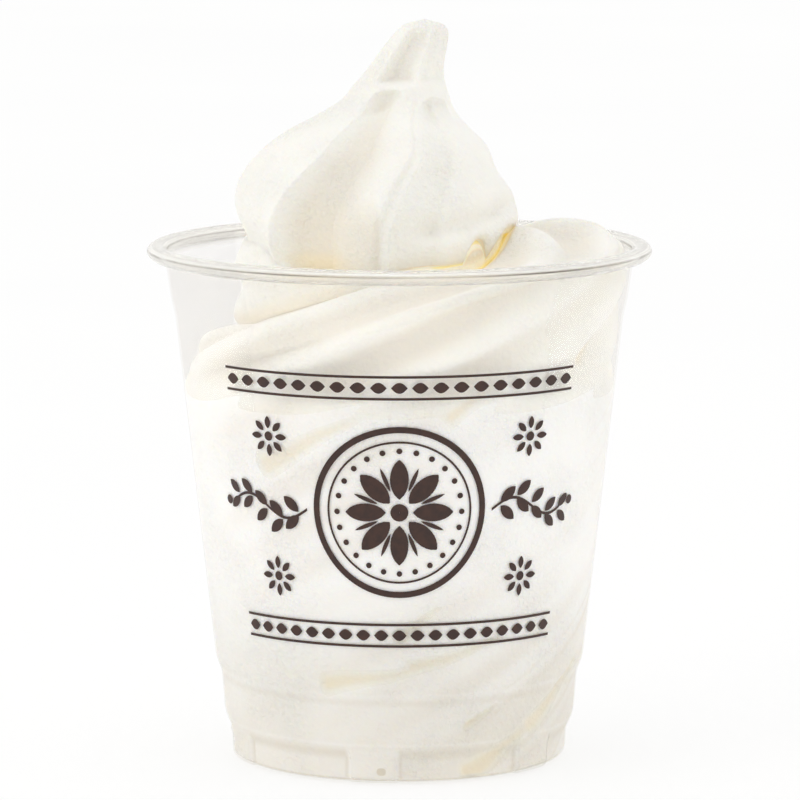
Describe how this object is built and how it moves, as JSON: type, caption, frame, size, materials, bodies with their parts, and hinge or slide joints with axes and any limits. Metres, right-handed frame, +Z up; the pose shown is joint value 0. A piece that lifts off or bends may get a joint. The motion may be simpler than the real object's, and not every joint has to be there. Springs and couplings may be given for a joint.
{
  "type": "soft serve cup",
  "caption": "Clear tapered plastic cup filled with soft serve that rises above the rim in a fluted crown with a curled tip.",
  "frame": {"origin": "centre of the cup's foot, on the surface it stands on", "axes": "+Z up along the cup's axis; -Y is the printed front, +X to the right seen from the front"},
  "size_m": [0.098, 0.098, 0.1435],
  "materials": {
    "clear_plastic": "thin clear plastic, smooth and glossy",
    "soft_serve": "milk-white frozen cream, soft and finely grained, warmer in the folds",
    "print_ink": "thin dark brown ink printed on the cup's outside"
  },
  "bodies": {
    "root": {"cup": "clear_plastic", "soft_serve": "soft_serve"}
  },
  "joints": []
}
